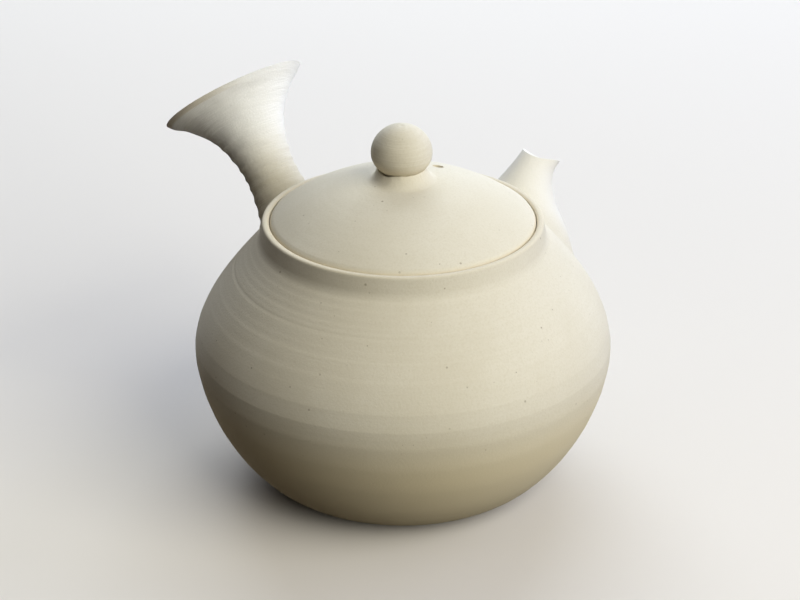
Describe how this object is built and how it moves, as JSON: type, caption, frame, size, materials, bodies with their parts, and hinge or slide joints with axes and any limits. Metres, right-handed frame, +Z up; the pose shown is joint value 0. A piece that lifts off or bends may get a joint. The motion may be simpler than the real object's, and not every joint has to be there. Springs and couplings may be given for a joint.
{
  "type": "side-handled teapot",
  "caption": "Round stoneware teapot with a cut spout, hollow trumpet side handle, clay strainer and domed lift-off lid.",
  "frame": {"origin": "centre of the flat base that the pot stands on", "axes": "+Z up through the centre of the lid and knob, +X the way the spout pours, the handle near +Y"},
  "size_m": [0.1278, 0.1505, 0.1103],
  "materials": {
    "stoneware": "unglazed cream stoneware, matte, with throwing rings and fine dark iron specks"
  },
  "bodies": {
    "pot": {"pot_body": "stoneware", "spout": "stoneware", "handle": "stoneware", "tea_strainer": "stoneware"},
    "lid": {"lid": "stoneware", "lid_knob": "stoneware"}
  },
  "joints": [
    {"name": "lid_lift", "type": "slide", "parent": "pot", "child": "lid", "axis": [0, 0, 1], "range_m": [0, 0.06]}
  ]
}
